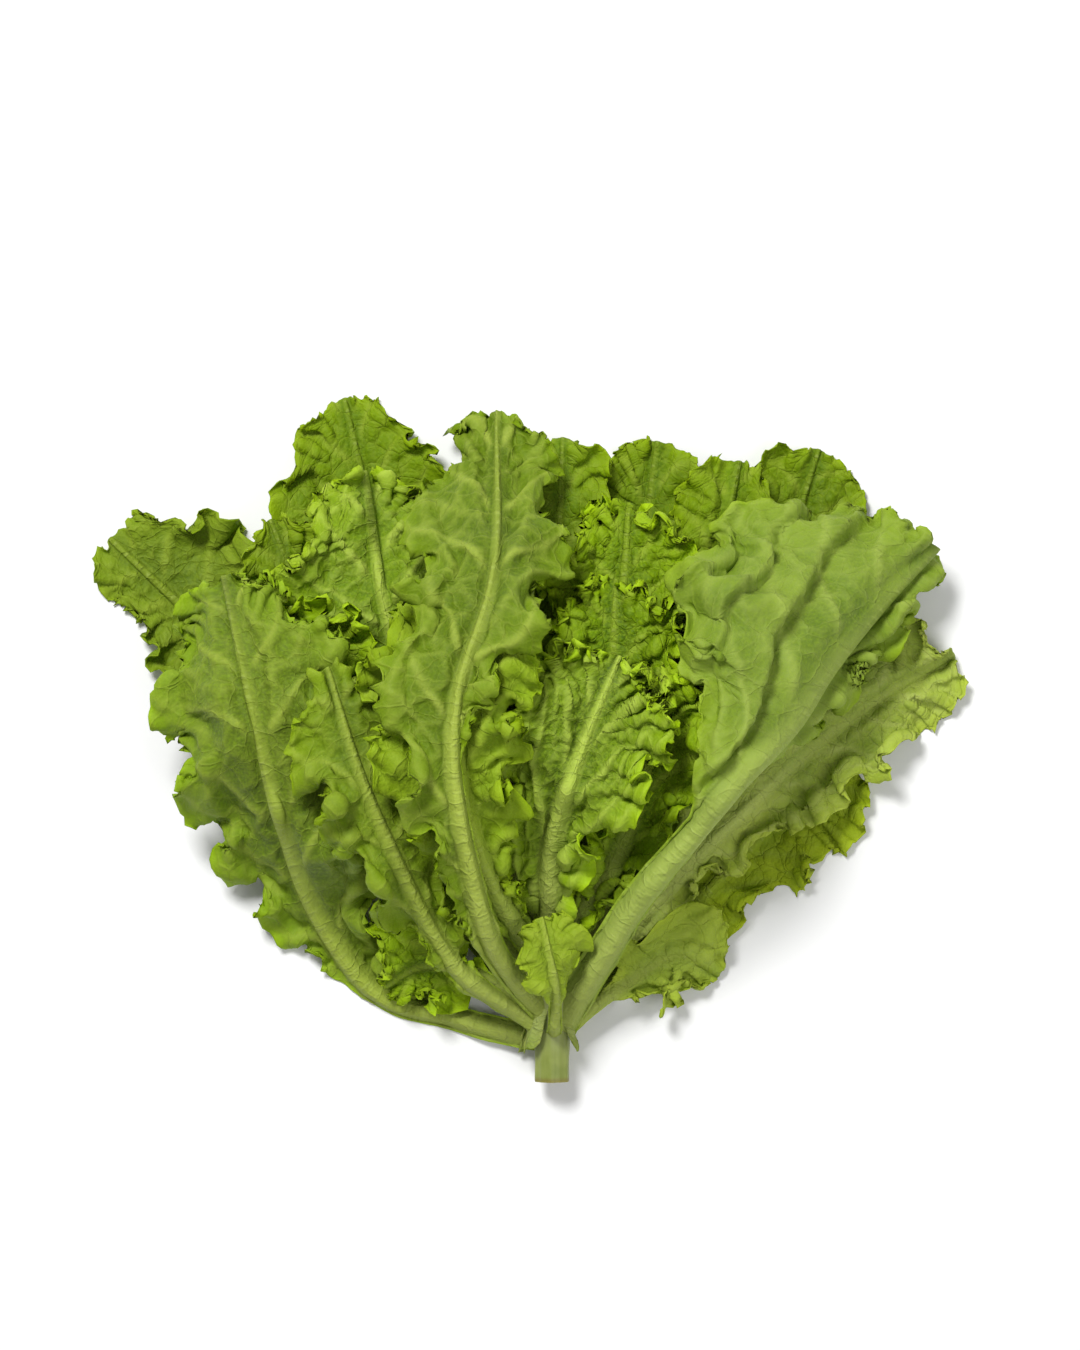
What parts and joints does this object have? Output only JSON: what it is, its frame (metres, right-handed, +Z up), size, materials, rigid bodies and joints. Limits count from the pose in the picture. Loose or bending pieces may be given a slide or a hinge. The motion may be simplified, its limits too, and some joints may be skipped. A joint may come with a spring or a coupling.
{
  "type": "green leaf lettuce",
  "caption": "Loose-leaf lettuce head laid on its side: frilly green leaves with pale ribs fan out from one cut stem.",
  "frame": {"origin": "on the surface that the head lies on, under the middle of its box", "axes": "+Z up from the surface, towards the side that is seen; +Y from the cut stem towards the leaf tips; +X to the right as seen from above, along the longest side"},
  "size_m": [0.3244, 0.2526, 0.0915],
  "materials": {
    "pale_leaf": "satin, waxy pale green leaf back with raised ribs",
    "green_leaf": "satin, crinkled yellow-green leaf",
    "heart_leaf": "satin, crinkled bright green inner leaf",
    "stem": "satin, fibrous pale green stem with a cut end"
  },
  "bodies": {
    "root": {"outer_leaf_centre": "pale_leaf", "outer_leaf_right": "pale_leaf", "outer_leaf_left": "pale_leaf", "outer_leaf_middle_left": "pale_leaf", "under_leaf_far_left": "pale_leaf", "under_leaf_right": "green_leaf", "under_leaf_top_left": "green_leaf", "under_leaf_top_right": "green_leaf", "under_leaf_top": "green_leaf", "side_leaf_right": "green_leaf", "side_leaf_top": "green_leaf", "side_leaf_top_right": "green_leaf", "side_leaf_left": "green_leaf", "base_leaf_right": "green_leaf", "crinkled_leaf": "green_leaf", "inner_leaf_top": "green_leaf", "base_leaf_left": "green_leaf", "wing_leaf": "green_leaf", "base_leaf": "green_leaf", "heart_leaf": "heart_leaf", "heart_leaf_right": "heart_leaf", "inner_leaf_middle": "heart_leaf", "inner_leaf_left": "heart_leaf", "stem": "stem"}
  },
  "joints": []
}
